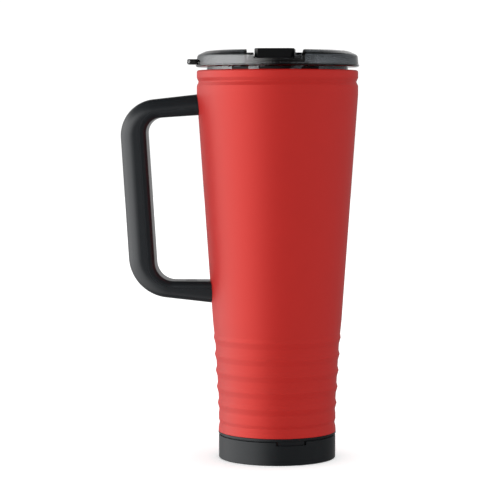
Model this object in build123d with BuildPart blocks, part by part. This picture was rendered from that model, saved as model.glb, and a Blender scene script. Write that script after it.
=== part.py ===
from build123d import *
import os

# Insulated travel mug: double-walled steel vessel, black base and handle, push-on smoke lid with
# a sliding stopper. Millimetres, +Z up, origin at the middle of the face the mug stands on.
# The handle points to -X, and the drinking side is -Y.

# Vessel
wall = 0.8
liner_wall = 0.7
ledge_z = 17.4
ledge_radius = 38.42
sleeve_radius = 35.4
sleeve_bottom = 3.0
rib_count = 5
rib_pitch = 10.7
rib_step = 0.645
top_rib_z = 78.7
top_rib_radius = 41.49
rib_rise = 2.6
rib_drop = 3.9
rib_rounding = 1.4
land_rounding = 2.5
taper_low = (42.02, 89.9)
taper_high = (51.87, 230.6)
collar_radius = 52.28
collar_low_z = 236.5
collar_groove = [(collar_radius, 242.3), (51.1, 244.9), (collar_radius, 247.5)]
foot_groove = [(38.16, 20.8), (37.55, 23.4), (38.2, 25.6), (38.15, 29.5)]
rim_z = 252.4
weld_radius = 50.2
mouth_radius = 48.0
mouth_low_z = 238.0
mouth_high_z = 246.0
liner_floor_z = 14.0
liner_floor_radius = 33.35
liner_corner = 10.0

# Closure of the vacuum gap
closure_z = 6.0
dimple_radius = 5.0
dimple_rise = 1.2
exhaust_radius = 1.2
getter_radius = 5.5
getter_x = 18.0
getter_thickness = 1.8
holder_floor = 0.5
holder_rim = 2.0

# Base
cup_radius = 38.15
cup_bottom_z = 0.1
cup_bottom_rounding = 0.8
cup_top_z = 15.4
cup_top_rounding = 0.8
cup_bore = sleeve_radius + 0.1
pad_radius = 33.5
pad_thickness = 1.5
notch_start = -88.6
notch_sweep = 30.2
notch_floor_z = 12.8
slit = 1.4
ring_radius = 38.4
ring_low_z = 16.1
spigot_radius = 37.3
grip_rings = (14.0, 20.0, 26.0)

# Handle
handle_corners = [(-30.0, 239.4), (-103.2, 231.2), (-95.3, 107.1), (-30.0, 100.1)]
handle_rounding = [0, 23.8, 27.5, 0]
gap_corners = [(-30.0, 224.8), (-85.3, 221.1), (-78.5, 115.8), (-30.0, 115.8)]
gap_rounding = [0, 9.8, 12.5, 0]
handle_width = 24.0
handle_outer_fillet = 9.0
handle_inner_fillet = 3.8
cover_depth = 4.5
handle_wall = 3.0
handle_fit = 0.1
screw_radius = 2.0
screw_head_radius = 3.6
screw_head_thickness = 1.7
socket_radius = 1.5
socket_depth = 1.2
screw_length = 7.8
screw_clear = 0.2
plug_sink = 0.2
plug_thickness = 1.0
pocket_depth = 3.0
boss_wall = 2.2
boss_height = 4.0
boss_bore_depth = 3.4
arms = {
    "upper": {"x": -63.0, "finger_z": 222.6, "inward": 1, "plate_z": 228.3},
    "lower": {"x": -56.0, "finger_z": 115.8, "inward": -1, "plate_z": 110.3},
}
plate_height = 5.0
plate_thickness = 1.6
plate_sweep = 18.0
plate_gap = 0.03
tongue_thickness = 2.0
tongue_half_width = 6.0

# Lid
flange_radius = 52.9
flange_bevel = (0.9, 0.6)
deck_bottom = 254.4
deck_top = 255.9
neck_radius = 45.7
neck_wall = 2.5
neck_bottom = 240.0
groove_low = 243.0
groove_high = 247.5
groove_radius = 44.2
window_spans = [(-12.9, 25.8), (21.4, 15.4), (-36.8, 15.4)]
dome_top = 265.2
cover_radius = 52.5
shoulder = (51.9, 262.1)
brow = (46.2, 264.7)
cover_wall = 1.6
channel_half = 17.05
channel_back_half = 23.0
channel_floor = 258.2
front_wall_top = 262.7
front_wall_radius = 52.4
spout_half = 12.95
spout_floor = 259.1
rail_reach = 13.3
rail_low = 260.5
rail_high = 261.7
rail_front = -42.0
rail_back = 8.0
opening_y = -39.0
opening_size = (16.0, 9.0)
opening_corner = 4.0
vent_y = 34.0
vent_radius = 1.5
lug_slack = 0.8
gasket_core = 46.3
gasket_lip = 47.7
lip_low_z = 243.7
lip_pitch = 1.9
tab_z = 256.1
tab_thickness = 3.4
tab_size = (8.2, 18.0)
tab_corner = 2.5
tab_rounding = 0.9
tab_x = -54.1

# Slider
slider_half = 12.55
slider_bevel = 2.15
grip_groove_count = 4
grip_groove_pitch = 2.6
grip_groove_radius = 0.8
grip_groove_length = 18.0
slider_front = -51.0
slider_back = -27.0
slider_bottom = 259.4
slider_top = 265.3
foot_half = 16.6
foot_front = -46.0
foot_back = -25.0
foot_low = 258.4
foot_high = 260.2
seal_size = (21.0, 13.0)
seal_corner = 4.0
seal_thickness = 1.3

os.makedirs("parts", exist_ok=True)
taper_slope = (taper_high[0] - taper_low[0]) / (taper_high[1] - taper_low[1])


def wall_radius(z):
    """Outer radius of the straight tapered wall at height z."""
    return taper_low[0] + taper_slope * (z - taper_low[1])


def shell_outline(inset):
    """Points and corner radii of the shell's outside, from the sleeve up, moved in by inset."""
    points = [
        (sleeve_radius, sleeve_bottom),
        (sleeve_radius, ledge_z + inset),
        (ledge_radius, ledge_z + inset),
        *foot_groove,
    ]
    radii = [0, 0.4, 1.5, 1.0, 1.2, land_rounding]
    for rib in reversed(range(rib_count)):
        crest_radius = top_rib_radius - rib * rib_step
        crest_z = top_rib_z - rib * rib_pitch
        fall = 0.7 if rib else 0.36
        points += [
            (crest_radius - 1.1, crest_z - rib_drop),
            (crest_radius, crest_z),
            (crest_radius - fall, crest_z + rib_rise),
        ]
        radii += [land_rounding, rib_rounding, land_rounding]
    points += [
        taper_low,
        taper_high,
        (collar_radius, collar_low_z),
        *collar_groove,
        (collar_radius, rim_z - inset),
        (weld_radius + inset, rim_z - inset),
    ]
    radii += [20.0, 20.0, 15.0, 1.2, 1.0, 1.2, 1.3 - inset]
    return [(r - inset, z) for r, z in points], radii


# ---- outer_shell ----
outer_points, outer_radii = shell_outline(0)
inner_points, inner_radii = shell_outline(wall)
with BuildPart() as outer_shell:
    with BuildSketch(Plane.XZ):
        with BuildLine():
            outside = FilletPolyline(*outer_points, radius=outer_radii)
            inside = FilletPolyline(*inner_points, radius=inner_radii)
            Line(outside @ 0, inside @ 0)
            Line(outside @ 1, inside @ 1)
        make_face()
    revolve(axis=Axis.Z)
outer_shell.part.label = "outer_shell"

# ---- inner_liner ----
with BuildPart() as inner_liner:
    with BuildSketch(Plane.XZ):
        with BuildLine():
            inside = FilletPolyline(
                (0, liner_floor_z + 1.0),
                (liner_floor_radius, liner_floor_z),
                (mouth_radius, mouth_low_z),
                (mouth_radius, mouth_high_z),
                (weld_radius - liner_wall, rim_z),
                radius=[liner_corner, 20.0, 8.0],
            )
            outside = FilletPolyline(
                (0, liner_floor_z + 1.0 - liner_wall),
                (liner_floor_radius + liner_wall, liner_floor_z - liner_wall),
                (mouth_radius + liner_wall, mouth_low_z),
                (mouth_radius + liner_wall, mouth_high_z),
                (weld_radius, rim_z - wall),
                (weld_radius, rim_z),
                radius=[liner_corner + liner_wall, 20.0, 8.0, 0],
            )
            Line(inside @ 0, outside @ 0)
            Line(inside @ 1, outside @ 1)
        make_face()
    revolve(axis=Axis.Z)
inner_liner.part.label = "inner_liner"

# ---- shell_bottom, exhaust_seal, getter_holder, getter ----
with BuildPart() as shell_bottom:
    with BuildSketch(Plane.XZ):
        with BuildLine():
            FilletPolyline(
                (exhaust_radius, closure_z + dimple_rise),
                (dimple_radius, closure_z + dimple_rise),
                (dimple_radius + dimple_rise, closure_z),
                (sleeve_radius - 2 * wall, closure_z),
                (sleeve_radius - 2 * wall, sleeve_bottom),
                (sleeve_radius - wall, sleeve_bottom),
                (sleeve_radius - wall, closure_z + wall),
                (dimple_radius + 0.8, closure_z + wall),
                (dimple_radius - 0.4, closure_z + dimple_rise + wall),
                (exhaust_radius, closure_z + dimple_rise + wall),
                close=True,
                radius=[0, 0.3, 0.3, 0.3, 0, 0, 1.0, 0.3, 0.3, 0],
            )
        make_face()
    revolve(axis=Axis.Z)
shell_bottom.part.label = "shell_bottom"

with BuildPart() as exhaust_seal:
    with BuildSketch(Plane.XY.offset(closure_z + 0.1)):
        Circle(dimple_radius - 0.6)
    extrude(amount=dimple_rise - 0.1)
    with BuildSketch(Plane.XY.offset(closure_z + dimple_rise)):
        Circle(exhaust_radius)
    extrude(amount=wall)
    fillet(exhaust_seal.edges().group_by(Axis.Z)[0], radius=0.5)
exhaust_seal.part.label = "exhaust_seal"

with BuildPart() as getter_holder:
    with BuildSketch(Plane.XY.offset(closure_z + wall)):
        with Locations((getter_x, 0)):
            Circle(getter_radius + 0.6)
            Rectangle(2 * getter_radius + 7, 5)
    extrude(amount=holder_floor)
    with BuildSketch(Plane.XY.offset(closure_z + wall + holder_floor)):
        with Locations((getter_x, 0)):
            Circle(getter_radius + 0.6)
            Circle(getter_radius + 0.1, mode=Mode.SUBTRACT)
    extrude(amount=holder_rim)
getter_holder.part.label = "getter_holder"

with BuildPart() as getter:
    with BuildSketch(Plane.XY.offset(closure_z + wall + holder_floor)):
        with Locations((getter_x, 0)):
            Circle(getter_radius)
    extrude(amount=getter_thickness)
    fillet(getter.edges().group_by(Axis.Z)[-1], radius=0.5)
getter.part.label = "getter"

# ---- base_ring: trim ring with a spigot below it and the locating tab ----
with BuildPart() as base_ring:
    with BuildSketch(Plane.XZ):
        with BuildLine():
            FilletPolyline(
                (cup_bore, cup_top_z + 0.1),
                (spigot_radius, cup_top_z + 0.1),
                (spigot_radius, ring_low_z),
                (ring_radius, ring_low_z),
                (ring_radius, ledge_z - 0.05),
                (cup_bore, ledge_z - 0.05),
                close=True,
                radius=[0, 0, 0, 0.3, 0.2, 0],
            )
        make_face()
    revolve(axis=Axis.Z)
    with BuildSketch(Plane.XZ.rotated((0, 0, notch_start + slit))):
        with Locations(((cup_bore + spigot_radius) / 2, (notch_floor_z + ring_low_z + 0.3) / 2)):
            Rectangle(spigot_radius - cup_bore, ring_low_z - 0.1 - notch_floor_z)
    revolve(axis=Axis.Z, revolution_arc=notch_sweep - 2 * slit)
base_ring.part.label = "base_ring"

# ---- base_cup ----
with BuildPart() as base_cup:
    with BuildSketch(Plane.XZ):
        with BuildLine():
            FilletPolyline(
                (0, pad_thickness),
                (pad_radius + 0.2, pad_thickness),
                (pad_radius + 0.2, cup_bottom_z),
                (cup_radius, cup_bottom_z),
                (cup_radius, cup_top_z),
                (cup_bore, cup_top_z),
                (cup_bore, sleeve_bottom),
                (0, sleeve_bottom),
                close=True,
                radius=[0, 0, 0, cup_bottom_rounding, cup_top_rounding, 0, 0, 0],
            )
        make_face()
    revolve(axis=Axis.Z)
    with BuildSketch(Plane.XZ.rotated((0, 0, notch_start))):
        with Locations((cup_radius, notch_floor_z + 5)):
            Rectangle(2 * (cup_radius - cup_bore) + 1, 10.0)
    revolve(axis=Axis.Z, revolution_arc=notch_sweep, mode=Mode.SUBTRACT)
base_cup.part.label = "base_cup"

# ---- foot_pad: rubber disc with shallow rings moulded in its face ----
with BuildPart() as foot_pad:
    with BuildSketch(Plane.XY):
        Circle(pad_radius)
    extrude(amount=pad_thickness)
    fillet(foot_pad.edges().group_by(Axis.Z)[0], radius=0.5)
    with BuildSketch(Plane.XY):
        for grip_radius in grip_rings:
            Circle(grip_radius + 1.0)
            Circle(grip_radius, mode=Mode.SUBTRACT)
    extrude(amount=0.5, mode=Mode.SUBTRACT)
foot_pad.part.label = "foot_pad"


def handle_outline(inset):
    """Outside of the handle seen from the front, filled in, moved in by inset."""
    with BuildSketch(Plane.XZ) as outline:
        with BuildLine():
            FilletPolyline(*handle_corners, close=True, radius=handle_rounding)
        make_face()
        if inset:
            offset(amount=-inset)
    return outline.sketch


def gap_outline(grow):
    """The finger gap seen from the front, run on into the vessel, grown by grow."""
    with BuildSketch(Plane.XZ) as outline:
        with BuildLine():
            FilletPolyline(*gap_corners, close=True, radius=gap_rounding)
        make_face()
        if grow:
            offset(amount=grow)
    return outline.sketch


# ---- the handle as one blank, divided below into its shell and inner cover ----
handle_face = handle_outline(0)
cavity_face = handle_outline(handle_wall)
gap_face = gap_outline(0)
cover_face = gap_outline(cover_depth)
cover_clear_face = gap_outline(cover_depth + handle_fit)
buried_end_x = handle_corners[0][0] - 0.5

with BuildPart() as handle_blank:
    extrude(handle_face, amount=handle_width / 2, both=True)
    outer_edges = [
        edge
        for edge in handle_blank.edges()
        if abs(abs(edge.center().Y) - handle_width / 2) < 0.01 and edge.center().X < buried_end_x
    ]
    fillet(outer_edges, radius=handle_outer_fillet)
    extrude(gap_face, amount=handle_width, both=True, mode=Mode.SUBTRACT)
    inner_edges = [
        edge
        for edge in handle_blank.edges(Select.LAST)
        if abs(abs(edge.center().Y) - handle_width / 2) < 0.01 and edge.center().X < buried_end_x
    ]
    fillet(inner_edges, radius=handle_inner_fillet)
    with BuildSketch(Plane.XZ):
        with BuildLine():
            Polyline(
                (0, taper_low[1]),
                (taper_low[0] + handle_fit, taper_low[1]),
                (taper_high[0] + handle_fit, taper_high[1]),
                (collar_radius + handle_fit, collar_low_z),
                (collar_radius + handle_fit, rim_z),
                (0, rim_z),
                close=True,
            )
        make_face()
    revolve(axis=Axis.Z, mode=Mode.SUBTRACT)

# ---- handle_inner_cover: the strip on the finger side, with a hole for each screw ----
with BuildPart() as handle_inner_cover:
    add(handle_blank.part)
    extrude(cover_face, amount=handle_width, both=True, mode=Mode.INTERSECT)
    for arm in arms.values():
        inward = arm["inward"]
        with BuildSketch(Plane((arm["x"], 0, arm["finger_z"] - inward), z_dir=(0, 0, inward))):
            Circle(screw_head_radius + screw_clear)
        extrude(amount=pocket_depth + 1, mode=Mode.SUBTRACT)
        with BuildSketch(Plane((arm["x"], 0, arm["finger_z"]), z_dir=(0, 0, inward))):
            Circle(screw_radius + screw_clear)
        extrude(amount=2 * cover_depth, mode=Mode.SUBTRACT)
handle_inner_cover.part.label = "handle_inner_cover"

# ---- handle_shell: hollow, with a boss for each screw ----
with BuildPart() as handle_shell:
    add(handle_blank.part)
    extrude(cover_clear_face, amount=handle_width, both=True, mode=Mode.SUBTRACT)
    extrude(cavity_face, amount=handle_width / 2 - handle_wall, both=True, mode=Mode.SUBTRACT)
    for arm in arms.values():
        inward = arm["inward"]
        boss_z = arm["plate_z"] + inward * (tongue_thickness + handle_fit)
        with BuildSketch(Plane((arm["x"], 0, boss_z), z_dir=(0, 0, inward))):
            Circle(screw_radius + boss_wall)
        extrude(amount=boss_height)
        with BuildSketch(Plane((arm["x"], 0, boss_z), z_dir=(0, 0, inward))):
            Circle(screw_radius)
        extrude(amount=boss_bore_depth, mode=Mode.SUBTRACT)
handle_shell.part.label = "handle_shell"

# ---- upper_bracket, lower_bracket: curved foot spot-welded to the wall, with a drilled tongue ----
brackets = {}
for arm_name, arm in arms.items():
    inward = arm["inward"]
    near_z = arm["plate_z"]
    far_z = near_z + inward * plate_height
    with BuildPart() as bracket:
        with BuildSketch(Plane.XZ.rotated((0, 0, 180 - plate_sweep / 2))):
            with BuildLine():
                Polyline(
                    (wall_radius(near_z) + plate_gap, near_z),
                    (wall_radius(far_z) + plate_gap, far_z),
                    (wall_radius(far_z) + plate_thickness, far_z),
                    (wall_radius(near_z) + plate_thickness, near_z),
                    close=True,
                )
            make_face()
        revolve(axis=Axis.Z, revolution_arc=plate_sweep)
        tongue_start = -wall_radius(near_z) - plate_thickness / 2
        with BuildSketch(Plane.XY.offset(near_z)):
            with Locations(((tongue_start + arm["x"]) / 2, 0)):
                Rectangle(tongue_start - arm["x"], 2 * tongue_half_width)
            with Locations((arm["x"], 0)):
                Circle(tongue_half_width)
                Circle(screw_radius + screw_clear, mode=Mode.SUBTRACT)
        extrude(amount=inward * tongue_thickness)
    brackets[arm_name] = bracket.part
    brackets[arm_name].label = arm_name + "_bracket"

# ---- handle_screws and screw_plugs: one of each in each arm ----
with BuildPart() as handle_screws:
    for arm in arms.values():
        inward = arm["inward"]
        head_z = arm["finger_z"] + inward * (plug_sink + plug_thickness + handle_fit)
        shank_z = head_z + inward * (screw_head_thickness)
        with BuildSketch(Plane((arm["x"], 0, head_z), z_dir=(0, 0, inward))):
            Circle(screw_head_radius)
        extrude(amount=screw_head_thickness)
        with BuildSketch(Plane((arm["x"], 0, head_z), z_dir=(0, 0, inward))):
            RegularPolygon(socket_radius, 6)
        extrude(amount=socket_depth, mode=Mode.SUBTRACT)
        with BuildSketch(Plane((arm["x"], 0, shank_z), z_dir=(0, 0, inward))):
            Circle(screw_radius)
        extrude(amount=screw_length)
handle_screws.part.label = "handle_screws"

with BuildPart() as screw_plugs:
    for arm in arms.values():
        inward = arm["inward"]
        plug_z = arm["finger_z"] + inward * plug_sink
        with BuildSketch(Plane((arm["x"], 0, plug_z), z_dir=(0, 0, inward))):
            Circle(screw_head_radius + screw_clear / 2)
        extrude(amount=plug_thickness)
screw_plugs.part.label = "screw_plugs"

# ---- lid_base: deck and flange in one plate, and the neck that plugs the mouth ----
with BuildPart() as lid_base:
    with BuildSketch(Plane.XZ):
        with BuildLine():
            FilletPolyline(
                (0, deck_bottom),
                (flange_radius - flange_bevel[0], deck_bottom),
                (flange_radius, deck_bottom + flange_bevel[1]),
                (flange_radius, deck_top),
                (0, deck_top),
                close=True,
                radius=[0, 0.4, 0.3, 0.25, 0],
            )
        make_face()
    revolve(axis=Axis.Z)
    with BuildSketch(Plane.XZ):
        with BuildLine():
            Polyline(
                (neck_radius - neck_wall, neck_bottom),
                (neck_radius - 0.5, neck_bottom),
                (neck_radius + 0.3, neck_bottom + 0.8),
                (neck_radius + 0.3, groove_low),
                (groove_radius, groove_low),
                (groove_radius, groove_high),
                (neck_radius, groove_high),
                (neck_radius, deck_bottom + 0.2),
                (neck_radius - neck_wall, deck_bottom + 0.2),
                close=True,
            )
        make_face()
    revolve(axis=Axis.Z)
    for half_turn in (0, 180):
        for start, sweep in window_spans:
            with BuildSketch(Plane.XZ.rotated((0, 0, start - 90 + half_turn))):
                with Locations((neck_radius, (groove_high + deck_bottom) / 2 - 0.1)):
                    Rectangle(8.0, deck_bottom - groove_high + 0.2)
            revolve(axis=Axis.Z, revolution_arc=sweep, mode=Mode.SUBTRACT)
    with BuildSketch(Plane.XY.offset(deck_bottom - 1)):
        with Locations((0, opening_y)):
            RectangleRounded(*opening_size, opening_corner)
        with Locations((0, vent_y)):
            Circle(vent_radius)
    extrude(amount=4.0, mode=Mode.SUBTRACT)
lid_base.part.label = "lid_base"

# ---- lid_gasket: ring with two lips, and a lug that fills each window of the neck ----
with BuildPart() as lid_gasket:
    with BuildSketch(Plane.XZ):
        with BuildLine():
            Polyline(
                (groove_radius + 0.05, groove_low + 0.1),
                (gasket_core, groove_low + 0.1),
                (gasket_core, lip_low_z),
                (gasket_lip, lip_low_z + 1.2),
                (gasket_lip, lip_low_z + 1.7),
                (gasket_core, lip_low_z + 1.1),
                (gasket_core, lip_low_z + lip_pitch),
                (gasket_lip, lip_low_z + lip_pitch + 1.2),
                (gasket_lip, lip_low_z + lip_pitch + 1.7),
                (gasket_core, lip_low_z + lip_pitch + 1.1),
                (gasket_core, groove_high - 0.1),
                (groove_radius + 0.05, groove_high - 0.1),
                close=True,
            )
        make_face()
    revolve(axis=Axis.Z)
    for half_turn in (0, 180):
        for start, sweep in window_spans:
            lug_start = start - 90 + half_turn + lug_slack / 2
            with BuildSketch(Plane.XZ.rotated((0, 0, lug_start))):
                with Locations((groove_radius + 0.8, (groove_high + deck_bottom) / 2 - 0.4)):
                    Rectangle(1.2, deck_bottom - groove_high + 0.2)
            revolve(axis=Axis.Z, revolution_arc=sweep - lug_slack)
lid_gasket.part.label = "lid_gasket"


def dome_face(inset):
    """Half section of the lid's domed cover, moved in by inset."""
    with BuildSketch(Plane.XZ) as outline:
        with BuildLine():
            FilletPolyline(
                (0, deck_top + 0.05),
                (cover_radius - inset, deck_top + 0.05),
                (shoulder[0] - inset, shoulder[1] - 0.6 * inset),
                (brow[0] - 0.5 * inset, brow[1] - inset),
                (40.0, dome_top - inset),
                (0, dome_top + 0.2 - inset),
                close=True,
                radius=[0, 0, 2.6 - inset / 2, 9.0, 10.0, 0],
            )
        make_face()
    return outline.sketch


def channel_plan(grow):
    """Plan of the slider's channel, a little wider at the back, grown sideways by grow."""
    front_half = channel_half + grow
    back_half = channel_back_half + grow
    with BuildSketch(Plane.XY) as plan:
        with BuildLine():
            Polyline(
                (-front_half, -60.0),
                (front_half, -60.0),
                (front_half, slider_front),
                (back_half, -slider_front),
                (back_half, 60.0),
                (-back_half, 60.0),
                (-back_half, -slider_front),
                (-front_half, slider_front),
                close=True,
            )
        make_face()
    return plan.sketch


# ---- lid_cover: two hollow domes with the slider's channel between them ----
cover_outside = dome_face(0)
cover_inside = dome_face(cover_wall)
channel_face = channel_plan(0)
rail_face = channel_plan(0.4)
rib_face = channel_plan(cover_wall)

with BuildPart() as dome_hollows:
    revolve(cover_inside, axis=Axis.Z)
    extrude(rib_face, amount=300, mode=Mode.SUBTRACT)

with BuildPart() as lift_tab:
    with BuildSketch(Plane.XY.offset(tab_z)):
        with Locations((tab_x, 0)):
            RectangleRounded(*tab_size, tab_corner)
    extrude(amount=tab_thickness)
    fillet(lift_tab.edges().group_by(Axis.Z)[0], radius=tab_rounding)
    fillet(lift_tab.edges().group_by(Axis.Z)[-1], radius=tab_rounding)

with BuildPart() as lid_cover:
    revolve(cover_outside, axis=Axis.Z)
    with BuildSketch(Plane.XY.offset(channel_floor)):
        Circle(front_wall_radius - cover_wall)
        add(channel_face, mode=Mode.INTERSECT)
    extrude(amount=20.0, mode=Mode.SUBTRACT)
    extrude(Pos(0, 0, front_wall_top) * channel_face, amount=20.0, mode=Mode.SUBTRACT)
    channel_edges = [
        edge
        for edge in lid_cover.edges()
        if channel_half - 0.1 < abs(edge.center().X) < channel_back_half
        and edge.center().Z > front_wall_top + 0.6
        and abs(edge.tangent_at(0.5).Y) > 0.5
    ]
    fillet(channel_edges, radius=0.7)
    with BuildSketch(Plane.XY.offset(spout_floor)):
        with Locations((0, -50.0)):
            Rectangle(2 * spout_half, 20.0)
    extrude(amount=20.0, mode=Mode.SUBTRACT)
    add(dome_hollows.part, mode=Mode.SUBTRACT)
    with BuildSketch(Plane.XY.offset(deck_top)):
        Circle(cover_radius - cover_wall)
        with Locations((0, opening_y)):
            RectangleRounded(
                opening_size[0] + 3,
                opening_size[1] + 3,
                opening_corner + 1,
                mode=Mode.SUBTRACT,
            )
        with Locations((0, vent_y)):
            Circle(vent_radius + 1.5, mode=Mode.SUBTRACT)
    extrude(amount=0.7, mode=Mode.SUBTRACT)
    with BuildSketch(Plane.XY.offset(rail_low)):
        add(rail_face)
        with Locations((0, (rail_front + rail_back) / 2)):
            Rectangle(2 * channel_back_half, rail_back - rail_front, mode=Mode.INTERSECT)
        Rectangle(2 * rail_reach, 200, mode=Mode.SUBTRACT)
    extrude(amount=rail_high - rail_low)
    with BuildSketch(Plane.XY.offset(deck_top - 1)):
        with Locations((0, opening_y)):
            RectangleRounded(*opening_size, opening_corner)
        with Locations((0, vent_y)):
            Circle(vent_radius)
    extrude(amount=5.0, mode=Mode.SUBTRACT)
    add(lift_tab.part)
lid_cover.part.label = "lid_cover"

# ---- slider: bevelled block on a wide foot that runs under the rails ----
with BuildPart() as slider:
    with BuildSketch(Plane.XY.offset(slider_bottom)):
        with BuildLine():
            Polyline(
                (-slider_half + slider_bevel, slider_front),
                (slider_half - slider_bevel, slider_front),
                (slider_half, slider_front + 1.5 * slider_bevel),
                (slider_half, slider_back),
                (-slider_half, slider_back),
                (-slider_half, slider_front + 1.5 * slider_bevel),
                close=True,
            )
        make_face()
    extrude(amount=slider_top - slider_bottom)
    fillet(slider.edges().group_by(Axis.Z)[-1], radius=0.7)
    with BuildSketch(Plane.XY.offset(foot_low)):
        with Locations((0, (foot_front + foot_back) / 2)):
            RectangleRounded(2 * foot_half, foot_back - foot_front, 2.0)
    extrude(amount=foot_high - foot_low)
    for groove in range(grip_groove_count):
        with BuildSketch(Plane.YZ.offset(-grip_groove_length / 2)):
            with Locations((slider_back - 3.0 - grip_groove_pitch * groove, slider_top + 0.2)):
                Circle(grip_groove_radius)
        extrude(amount=grip_groove_length, mode=Mode.SUBTRACT)
    with BuildSketch(Plane.XY.offset(foot_low)):
        with Locations((0, opening_y)):
            RectangleRounded(seal_size[0] + 0.2, seal_size[1] + 0.2, seal_corner)
    extrude(amount=seal_thickness, mode=Mode.SUBTRACT)
slider.part.label = "slider"

with BuildPart() as slider_seal:
    with BuildSketch(Plane.XY.offset(channel_floor + 0.1)):
        with Locations((0, opening_y)):
            RectangleRounded(*seal_size, seal_corner)
    extrude(amount=seal_thickness)
slider_seal.part.label = "slider_seal"

for piece in (outer_shell, inner_liner, shell_bottom, exhaust_seal, getter_holder, getter,
              base_ring, base_cup, foot_pad, handle_shell, handle_inner_cover, handle_screws,
              screw_plugs, lid_base, lid_cover, lid_gasket, slider, slider_seal):
    export_step(piece.part, "parts/" + piece.part.label + ".step")
for bracket_part in brackets.values():
    export_step(bracket_part, "parts/" + bracket_part.label + ".step")
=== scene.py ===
import bpy
from math import radians
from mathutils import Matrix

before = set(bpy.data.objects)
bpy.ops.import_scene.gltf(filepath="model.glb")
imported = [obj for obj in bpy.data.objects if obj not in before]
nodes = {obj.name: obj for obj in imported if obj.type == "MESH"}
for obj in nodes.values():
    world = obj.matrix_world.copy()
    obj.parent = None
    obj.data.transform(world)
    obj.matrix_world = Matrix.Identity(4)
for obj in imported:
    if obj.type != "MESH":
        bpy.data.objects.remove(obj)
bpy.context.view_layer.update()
bpy.ops.object.select_all(action="DESELECT")
print("frame loaded:", len(nodes), "nodes")

# sockets of a colour Mix node: its names repeat for each data type, so they go by number
mixFirst, mixSecond, mixResult = 6, 7, 2


def hexColor(code, alpha=1.0):
    # sRGB hex to the linear values that the shader sockets take
    channels = [int(code[i:i + 2], 16) / 255 for i in (1, 3, 5)]
    linear = [c / 12.92 if c <= 0.04045 else ((c + 0.055) / 1.055) ** 2.4 for c in channels]
    return (*linear, alpha)


def addNode(tree, kind, settings=None, links=None):
    # one node: settings by attribute, input name or input number, links as input: (node, output)
    node = tree.nodes.new(kind)
    for name, value in (settings or {}).items():
        if isinstance(name, str) and hasattr(node, name):
            setattr(node, name, value)
        else:
            node.inputs[name].default_value = value
    for name, (source, output) in (links or {}).items():
        tree.links.new(source.outputs[output], node.inputs[name])
    return node


def newMaterial(name):
    # an empty material, and the coordinates that its patterns lie on
    material = bpy.data.materials.new(name)
    material.use_nodes = True
    material.node_tree.nodes.clear()
    place = addNode(material.node_tree, "ShaderNodeTexCoord")
    return material, material.node_tree, place


def mirrorRays(tree):
    # 1 for a ray off a glossy skin, 0 for any other, also for one that came through clear plastic
    rays = addNode(tree, "ShaderNodeLightPath")
    return addNode(tree, "ShaderNodeMath", {"operation": "SUBTRACT", "use_clamp": True},
                   {0: (rays, "Is Glossy Ray"), 1: (rays, "Is Transmission Ray")})


def brightnessProfile(tree, points, highest, source):
    # smooth curve through points of (input, level), levels from 0 to highest
    low, high = points[0][0], points[-1][0]
    spots = [((start - low) / (high - low), level / highest) for start, level in points]
    along = addNode(tree, "ShaderNodeMapRange", {"From Min": low, "From Max": high},
                    {"Value": source})
    profile = addNode(tree, "ShaderNodeFloatCurve", None, {"Value": (along, 0)})
    curve = profile.mapping.curves[0]
    for spot in spots[1:-1]:
        curve.points.new(*spot)
    for point, spot in zip(curve.points, spots):
        point.location = spot
    profile.mapping.update()
    return profile


# camera: long lens, a hand below the lid's height, looking slightly down and standing a little to
# the right of square on
camera = {
    "place": (0.0520, -1.3321, 0.2266),
    "tilt": 86.1,
    "turn": 3.0,
    "lens": 147.6,
    "sensor": 36,
}
bpy.ops.object.camera_add(location=camera["place"],
                          rotation=(radians(camera["tilt"]), 0, radians(camera["turn"])))
studioCamera = bpy.context.object
studioCamera.name = "studioCamera"
studioCamera.data.lens = camera["lens"]
studioCamera.data.sensor_width = camera["sensor"]
bpy.context.scene.camera = studioCamera
bpy.context.scene.view_settings.view_transform = "Standard"
print("camera placed")

# studio: white sweep and white room for soft light; mirror-like rays see a panorama of bright
# boxes and dark flags in place of both
studio = {
    "floorSize": 8.0,
    "floorColour": "#FFFFFF",
    "room": 1.08,
    "roomColour": "#FFFFFF",
    # around the mug: (degrees from the camera towards the handle side, brightness)
    "panorama": [(-180, 0.8), (-165, 0.7), (-150, 0.4), (-115, 0.3), (-90, 0.36), (-63, 0.45),
                 (-40, 0.34), (-18, 0.16), (0, 0.16), (12, 0.8), (28, 2.9), (46, 5.6), (64, 6.6),
                 (85, 6.2), (110, 4.0), (128, 2.2), (140, 1.0), (160, 0.5), (180, 0.6)],
    "brightest": 8.0,
    # how much of that is left at each height: (upward part of the direction, share)
    "elevation": [(-1, 0.15), (-0.8, 0.35), (-0.6, 0.5), (-0.3, 0.7), (-0.1, 0.85), (0.1, 0.9),
                  (0.3, 0.95), (0.5, 0.5), (0.7, 0.12), (1, 0.02)],
    "floorGlow": 0.2,  # keeps the sweep white for the camera, and lights nothing
    # (place, turn, power) of a weak soft box each side, that only lifts the flat colours
    "boxes": [((-1.5, -0.45, 0.35), (84, 0, -73), 0.15), ((1.4, -0.7, 0.35), (84, 0, 63), 0.12)],
    "boxSize": (1.2, 1.6),
}
bpy.ops.mesh.primitive_plane_add(size=studio["floorSize"], location=(0, 0, 0))
floor = bpy.context.object
floor.name = "studioFloor"
whiteSweep = bpy.data.materials.new("whiteSweep")
whiteSweep.use_nodes = True
tree = whiteSweep.node_tree
tree.nodes.clear()
rays = addNode(tree, "ShaderNodeLightPath")
mirrored = mirrorRays(tree)
white = addNode(tree, "ShaderNodeBsdfDiffuse", {"Color": hexColor(studio["floorColour"])})
clear = addNode(tree, "ShaderNodeBsdfTransparent")
glowing = addNode(tree, "ShaderNodeMath", {"operation": "MULTIPLY", 1: studio["floorGlow"]},
                  {0: (rays, "Is Camera Ray")})
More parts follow.
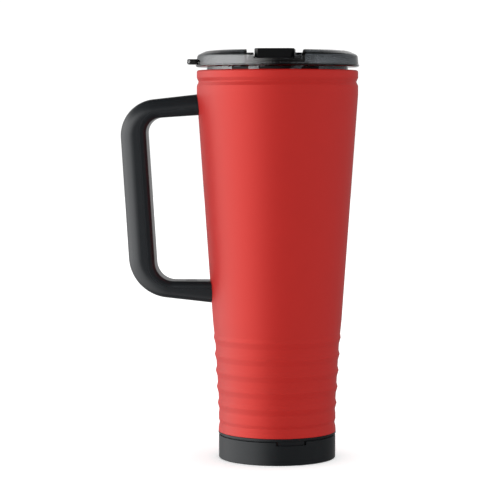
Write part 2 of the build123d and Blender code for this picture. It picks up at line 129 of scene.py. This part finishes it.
backlight = addNode(tree, "ShaderNodeEmission", None, {"Strength": (glowing, 0)})
whiter = addNode(tree, "ShaderNodeAddShader", None, {0: (white, 0), 1: (backlight, 0)})
floorMix = addNode(tree, "ShaderNodeMixShader", None,
                   {0: (mirrored, 0), 1: (whiter, 0), 2: (clear, 0)})
addNode(tree, "ShaderNodeOutputMaterial", None, {"Surface": (floorMix, 0)})
floor.data.materials.append(whiteSweep)

world = bpy.data.worlds.new("whiteRoom")
bpy.context.scene.world = world
world.use_nodes = True
world.cycles.sampling_method = "NONE"  # so that a rough reflection sees the panorama alone
room = world.node_tree
background = room.nodes["Background"]
background.inputs["Color"].default_value = hexColor(studio["roomColour"])
mirrored = mirrorRays(room)
direction = addNode(room, "ShaderNodeTexCoord")
axes = addNode(room, "ShaderNodeSeparateXYZ", None, {0: (direction, "Generated")})
left = addNode(room, "ShaderNodeMath", {"operation": "MULTIPLY", 1: -1.0}, {0: (axes, "X")})
ahead = addNode(room, "ShaderNodeMath", {"operation": "MULTIPLY", 1: -1.0}, {0: (axes, "Y")})
turn = addNode(room, "ShaderNodeMath", {"operation": "ARCTAN2"}, {0: (left, 0), 1: (ahead, 0)})
degrees = addNode(room, "ShaderNodeMath", {"operation": "DEGREES"}, {0: (turn, 0)})
around = [(angle - camera["turn"], level) for angle, level in studio["panorama"]]
panorama = brightnessProfile(room, around, studio["brightest"], (degrees, 0))
elevation = brightnessProfile(room, studio["elevation"], 1.0, (axes, "Z"))
share = addNode(room, "ShaderNodeMath", {"operation": "MULTIPLY"},
                {0: (panorama, 0), 1: (elevation, 0)})
glow = addNode(room, "ShaderNodeMath", {"operation": "MULTIPLY", 1: studio["brightest"]},
               {0: (share, 0)})
strength = addNode(room, "ShaderNodeMix", {"data_type": "FLOAT", "A": studio["room"]},
                   {"Factor": (mirrored, 0), "B": (glow, 0)})
room.links.new(strength.outputs["Result"], background.inputs["Strength"])

for number, (boxPlace, boxTurn, boxPower) in enumerate(studio["boxes"]):
    bpy.ops.object.light_add(type="AREA", location=boxPlace,
                             rotation=[radians(angle) for angle in boxTurn])
    softBox = bpy.context.object
    softBox.name = f"softBox{number}"
    softBox.data.shape = "RECTANGLE"
    softBox.data.size, softBox.data.size_y = studio["boxSize"]
    softBox.data.energy = boxPower
    softBox.visible_glossy = False
    softBox.visible_camera = False
print("studio lit")

# in the finishes below, a name ending in Mm is a pattern's size in millimetres, and 1000 over it is
# how often the pattern repeats in a metre; a depth is how far its bumps stand, in metres

# powder coated steel: polyester powder baked on the shell gives a satin red skin with fine orange
# peel, a broad soft highlight and slightly uneven colour
redPowder = {
    "colours": ("#AE0E0C", "#A90C0A"),
    "cloudMm": 14,
    "cloudDetail": 3.0,
    "peelMm": 0.9,
    "peelDetail": 2.0,
    "peelDepth": 0.00003,
    "peelStrength": 0.5,
    "roughness": 0.50,
    "ior": 1.5,
    "sheenLevel": 1.0,
    "sheenTint": "#EAA297",
    # painted shade: the near-black colour used below the ledge stands for the shade inside the base
    # notch's slit
    "notchShade": "#0A0A0B",
    "notchShadeTop": 0.01734,  # just under the ledge that the base ring meets
}
redPowderCoat, tree, place = newMaterial("redPowderCoat")
mottle = addNode(tree, "ShaderNodeTexNoise",
                 {"Scale": 1000 / redPowder["cloudMm"], "Detail": redPowder["cloudDetail"]},
                 {"Vector": (place, "Object")})
powder = addNode(tree, "ShaderNodeMix",
                 {"data_type": "RGBA", mixFirst: hexColor(redPowder["colours"][0]),
                  mixSecond: hexColor(redPowder["colours"][1])},
                 {"Factor": (mottle, 0)})
# painted shade: below the ledge the sleeve is drawn near black instead of red, so the slit in the
# base's notch looks shaded
axes = addNode(tree, "ShaderNodeSeparateXYZ", None, {0: (place, "Object")})
shadedUnderLedge = addNode(tree, "ShaderNodeMath", {"operation": "LESS_THAN", 1: redPowder["notchShadeTop"]},
                 {0: (axes, "Z")})
tone = addNode(tree, "ShaderNodeMix",
               {"data_type": "RGBA", mixSecond: hexColor(redPowder["notchShade"])},
               {"Factor": (shadedUnderLedge, 0), mixFirst: (powder, mixResult)})
peel = addNode(tree, "ShaderNodeTexNoise",
               {"Scale": 1000 / redPowder["peelMm"], "Detail": redPowder["peelDetail"]},
               {"Vector": (place, "Object")})
peelBump = addNode(tree, "ShaderNodeBump",
                   {"Strength": redPowder["peelStrength"], "Distance": redPowder["peelDepth"]},
                   {"Height": (peel, 0)})
shader = addNode(tree, "ShaderNodeBsdfPrincipled",
                 {"Roughness": redPowder["roughness"], "IOR": redPowder["ior"],
                  "Specular IOR Level": redPowder["sheenLevel"],
                  "Specular Tint": hexColor(redPowder["sheenTint"])},
                 {"Normal": (peelBump, 0), "Base Color": (tone, mixResult)})
addNode(tree, "ShaderNodeOutputMaterial", None, {"Surface": (shader, 0)})

# brushed stainless steel: the drawn liner is polished with a belt while it turns, so fine rings
# run round it
brushedSteel = {
    "colours": ("#B9B7B3", "#8F8D8A"),
    "streakMm": 60,
    "ringMm": 0.5,
    "ringDetail": 5.0,
    "ringRaggedness": 0.7,
    "ringDepth": 0.00004,
    "ringStrength": 0.35,
    "metallic": 1.0,
    "roughness": (0.24, 0.42),
}
brushedStainless, tree, place = newMaterial("brushedStainless")
stretch = addNode(tree, "ShaderNodeMapping",
                  {"Scale": (1000 / brushedSteel["streakMm"], 1000 / brushedSteel["streakMm"],
                             1000 / brushedSteel["ringMm"])},
                  {"Vector": (place, "Object")})
rings = addNode(tree, "ShaderNodeTexNoise",
                {"Scale": 1.0, "Detail": brushedSteel["ringDetail"],
                 "Roughness": brushedSteel["ringRaggedness"]},
                {"Vector": (stretch, 0)})
tone = addNode(tree, "ShaderNodeMix",
               {"data_type": "RGBA", mixFirst: hexColor(brushedSteel["colours"][0]),
                mixSecond: hexColor(brushedSteel["colours"][1])},
               {"Factor": (rings, 0)})
ringBump = addNode(tree, "ShaderNodeBump",
                   {"Strength": brushedSteel["ringStrength"],
                    "Distance": brushedSteel["ringDepth"]},
                   {"Height": (rings, 0)})
smoothest, roughest = brushedSteel["roughness"]
rough = addNode(tree, "ShaderNodeMapRange", {"To Min": smoothest, "To Max": roughest},
                {"Value": (rings, 0)})
shader = addNode(tree, "ShaderNodeBsdfPrincipled", {"Metallic": brushedSteel["metallic"]},
                 {"Base Color": (tone, mixResult), "Roughness": (rough, 0),
                  "Normal": (ringBump, 0)})
addNode(tree, "ShaderNodeOutputMaterial", None, {"Surface": (shader, 0)})

# cold rolled steel sheet: pressed cap and brackets with a dull, slightly streaked mill finish
rolledSheet = {
    "colours": ("#9A9996", "#7C7B79"),
    "streakMm": 12,
    "grainMm": 0.8,
    "grainDetail": 4.0,
    "grainDepth": 0.00003,
    "grainStrength": 0.3,
    "metallic": 1.0,
    "roughness": 0.38,
}
rolledSteelSheet, tree, place = newMaterial("rolledSteelSheet")
stretch = addNode(tree, "ShaderNodeMapping",
                  {"Scale": (1000 / rolledSheet["streakMm"], 1000 / rolledSheet["grainMm"],
                             1000 / rolledSheet["grainMm"])},
                  {"Vector": (place, "Object")})
grain = addNode(tree, "ShaderNodeTexNoise",
                {"Scale": 1.0, "Detail": rolledSheet["grainDetail"]}, {"Vector": (stretch, 0)})
tone = addNode(tree, "ShaderNodeMix",
               {"data_type": "RGBA", mixFirst: hexColor(rolledSheet["colours"][0]),
                mixSecond: hexColor(rolledSheet["colours"][1])},
               {"Factor": (grain, 0)})
grainBump = addNode(tree, "ShaderNodeBump",
                    {"Strength": rolledSheet["grainStrength"],
                     "Distance": rolledSheet["grainDepth"]},
                    {"Height": (grain, 0)})
shader = addNode(tree, "ShaderNodeBsdfPrincipled",
                 {"Metallic": rolledSheet["metallic"], "Roughness": rolledSheet["roughness"]},
                 {"Base Color": (tone, mixResult), "Normal": (grainBump, 0)})
addNode(tree, "ShaderNodeOutputMaterial", None, {"Surface": (shader, 0)})

# zinc plate: bright bluish screws with the soft spangle of a barrel-plated coat
zinc = {
    "colours": ("#C9CED2", "#A7AEB4"),
    "spangleMm": 1.1,
    "spangleDepth": 0.00002,
    "spangleStrength": 0.2,
    "metallic": 1.0,
    "roughness": 0.28,
}
zincPlate, tree, place = newMaterial("zincPlate")
spangle = addNode(tree, "ShaderNodeTexVoronoi", {"Scale": 1000 / zinc["spangleMm"]},
                  {"Vector": (place, "Object")})
tone = addNode(tree, "ShaderNodeMix",
               {"data_type": "RGBA", mixFirst: hexColor(zinc["colours"][0]),
                mixSecond: hexColor(zinc["colours"][1])},
               {"Factor": (spangle, "Distance")})
spangleBump = addNode(tree, "ShaderNodeBump",
                      {"Strength": zinc["spangleStrength"], "Distance": zinc["spangleDepth"]},
                      {"Height": (spangle, "Distance")})
shader = addNode(tree, "ShaderNodeBsdfPrincipled",
                 {"Metallic": zinc["metallic"], "Roughness": zinc["roughness"]},
                 {"Base Color": (tone, mixResult), "Normal": (spangleBump, 0)})
addNode(tree, "ShaderNodeOutputMaterial", None, {"Surface": (shader, 0)})

# sintered getter alloy: pressed dark grey powder, matt and speckled
getterPowder = {
    "colours": ("#3A3A3C", "#5C5B5A"),
    "speckMm": 0.3,
    "speckDetail": 3.0,
    "speckDepth": 0.00008,
    "speckStrength": 0.8,
    "metallic": 0.4,
    "roughness": 0.75,
}
sinteredGetter, tree, place = newMaterial("sinteredGetter")
specks = addNode(tree, "ShaderNodeTexNoise",
                 {"Scale": 1000 / getterPowder["speckMm"], "Detail": getterPowder["speckDetail"]},
                 {"Vector": (place, "Object")})
tone = addNode(tree, "ShaderNodeMix",
               {"data_type": "RGBA", mixFirst: hexColor(getterPowder["colours"][0]),
                mixSecond: hexColor(getterPowder["colours"][1])},
               {"Factor": (specks, 0)})
speckBump = addNode(tree, "ShaderNodeBump",
                    {"Strength": getterPowder["speckStrength"],
                     "Distance": getterPowder["speckDepth"]},
                    {"Height": (specks, 0)})
shader = addNode(tree, "ShaderNodeBsdfPrincipled",
                 {"Metallic": getterPowder["metallic"], "Roughness": getterPowder["roughness"]},
                 {"Base Color": (tone, mixResult), "Normal": (speckBump, 0)})
addNode(tree, "ShaderNodeOutputMaterial", None, {"Surface": (shader, 0)})

# moulded ABS: near-black satin shells with a fine spark-eroded grain that breaks up the
# highlight; the grain is drawn at 0.5 mm, about twice its real size, so that it shows
blackAbs = {
    "colours": ("#171A1D", "#1C1F22"),
    "cloudMm": 9,
    "cloudDetail": 4.0,
    "grainMm": 0.5,
    "grainDepth": 0.00002,
    "grainStrength": 0.4,
    "roughness": 0.28,
    "ior": 1.5,
    "gloss": 0.24,
}
# glass-filled polypropylene: the base is a little duller than the handle
filledPp = {
    "colours": ("#16181A", "#1B1E20"),
    "cloudMm": 6,
    "cloudDetail": 4.0,
    "grainMm": 0.6,
    "grainDepth": 0.00002,
    "grainStrength": 0.4,
    "roughness": 0.36,
    "ior": 1.5,
    "gloss": 0.145,
}
# polypropylene: the slider and screw plugs are the blackest, moulded with a fine satin skin
blackPp = {
    "colours": ("#020304", "#060708"),
    "cloudMm": 5,
    "cloudDetail": 4.0,
    "grainMm": 0.4,
    "grainDepth": 0.00001,
    "grainStrength": 0.4,
    "roughness": 0.3,
    "ior": 1.5,
    "gloss": 0.15,
}


def blackPlastic(name, recipe):
    material, tree, place = newMaterial(name)
    clouds = addNode(tree, "ShaderNodeTexNoise",
                     {"Scale": 1000 / recipe["cloudMm"], "Detail": recipe["cloudDetail"]},
                     {"Vector": (place, "Object")})
    tone = addNode(tree, "ShaderNodeMix",
                   {"data_type": "RGBA", mixFirst: hexColor(recipe["colours"][0]),
                    mixSecond: hexColor(recipe["colours"][1])},
                   {"Factor": (clouds, 0)})
    grain = addNode(tree, "ShaderNodeTexVoronoi", {"Scale": 1000 / recipe["grainMm"]},
                    {"Vector": (place, "Object")})
    grainBump = addNode(tree, "ShaderNodeBump",
                        {"Strength": recipe["grainStrength"], "Distance": recipe["grainDepth"]},
                        {"Height": (grain, "Distance")})
    shader = addNode(tree, "ShaderNodeBsdfPrincipled",
                     {"Roughness": recipe["roughness"], "IOR": recipe["ior"],
                      "Specular IOR Level": recipe["gloss"]},
                     {"Normal": (grainBump, 0), "Base Color": (tone, mixResult)})
    addNode(tree, "ShaderNodeOutputMaterial", None, {"Surface": (shader, 0)})
    return material


satinBlackAbs = blackPlastic("satinBlackAbs", blackAbs)
dullBlackPp = blackPlastic("dullBlackPp", filledPp)
deepBlackPp = blackPlastic("deepBlackPp", blackPp)

# injection moulded copolyester: clear smoke-grey plastic, polished, so that edges and walls
# behind each other stack into darker bands; the smoke is in its depth, and the skin is clear
smoke = {
    "skinColour": "#FAFBFC",
    "depthColour": "#8F959A",
    "density": 950,
    "flowMm": 20,
    "flowDetail": 1.0,
    "flowDepth": 0.0002,
    "flowStrength": 0.15,
    "roughness": 0.05,
    "ior": 1.57,
    "clearness": 1.0,
}
smokeCopolyester, tree, place = newMaterial("smokeCopolyester")
flow = addNode(tree, "ShaderNodeTexNoise",
               {"Scale": 1000 / smoke["flowMm"], "Detail": smoke["flowDetail"]},
               {"Vector": (place, "Object")})
flowBump = addNode(tree, "ShaderNodeBump",
                   {"Strength": smoke["flowStrength"], "Distance": smoke["flowDepth"]},
                   {"Height": (flow, 0)})
shader = addNode(tree, "ShaderNodeBsdfPrincipled",
                 {"Base Color": hexColor(smoke["skinColour"]), "Roughness": smoke["roughness"],
                  "IOR": smoke["ior"], "Transmission Weight": smoke["clearness"]},
                 {"Normal": (flowBump, 0)})
smokeDepth = addNode(tree, "ShaderNodeVolumeAbsorption",
                     {"Color": hexColor(smoke["depthColour"]), "Density": smoke["density"]})
addNode(tree, "ShaderNodeOutputMaterial", None, {"Surface": (shader, 0), "Volume": (smokeDepth, 0)})

# silicone rubber: black, soft looking, with a light bloom of dust and a fine matt skin
silicone = {
    "colours": ("#0D0E0F", "#1B1C1D"),
    "bloomMm": 7,
    "bloomDetail": 5.0,
    "skinMm": 0.35,
    "skinDepth": 0.00003,
    "skinStrength": 0.4,
    "roughness": 0.58,
    "ior": 1.41,
}
blackSilicone, tree, place = newMaterial("blackSilicone")
bloom = addNode(tree, "ShaderNodeTexNoise",
                {"Scale": 1000 / silicone["bloomMm"], "Detail": silicone["bloomDetail"]},
                {"Vector": (place, "Object")})
tone = addNode(tree, "ShaderNodeMix",
               {"data_type": "RGBA", mixFirst: hexColor(silicone["colours"][0]),
                mixSecond: hexColor(silicone["colours"][1])},
               {"Factor": (bloom, 0)})
skin = addNode(tree, "ShaderNodeTexNoise", {"Scale": 1000 / silicone["skinMm"]},
               {"Vector": (place, "Object")})
skinBump = addNode(tree, "ShaderNodeBump",
                   {"Strength": silicone["skinStrength"], "Distance": silicone["skinDepth"]},
                   {"Height": (skin, 0)})
shader = addNode(tree, "ShaderNodeBsdfPrincipled",
                 {"Roughness": silicone["roughness"], "IOR": silicone["ior"]},
                 {"Base Color": (tone, mixResult), "Normal": (skinBump, 0)})
addNode(tree, "ShaderNodeOutputMaterial", None, {"Surface": (shader, 0)})
print("materials made")

nodeFinish = {
    redPowderCoat: ["outer_shell"],
    brushedStainless: ["inner_liner"],
    rolledSteelSheet: ["shell_bottom", "getter_holder", "upper_bracket", "lower_bracket"],
    zincPlate: ["exhaust_seal", "handle_screws"],
    sinteredGetter: ["getter"],
    satinBlackAbs: ["handle_shell", "handle_inner_cover"],
    dullBlackPp: ["base_ring", "base_cup"],
    smokeCopolyester: ["lid_base", "lid_cover"],
    deepBlackPp: ["slider", "screw_plugs"],
    blackSilicone: ["foot_pad", "lid_gasket", "slider_seal"],
}
for finish, names in nodeFinish.items():
    for name in names:
        nodes[name].data.materials.clear()
        nodes[name].data.materials.append(finish)
print("finishes on the nodes")
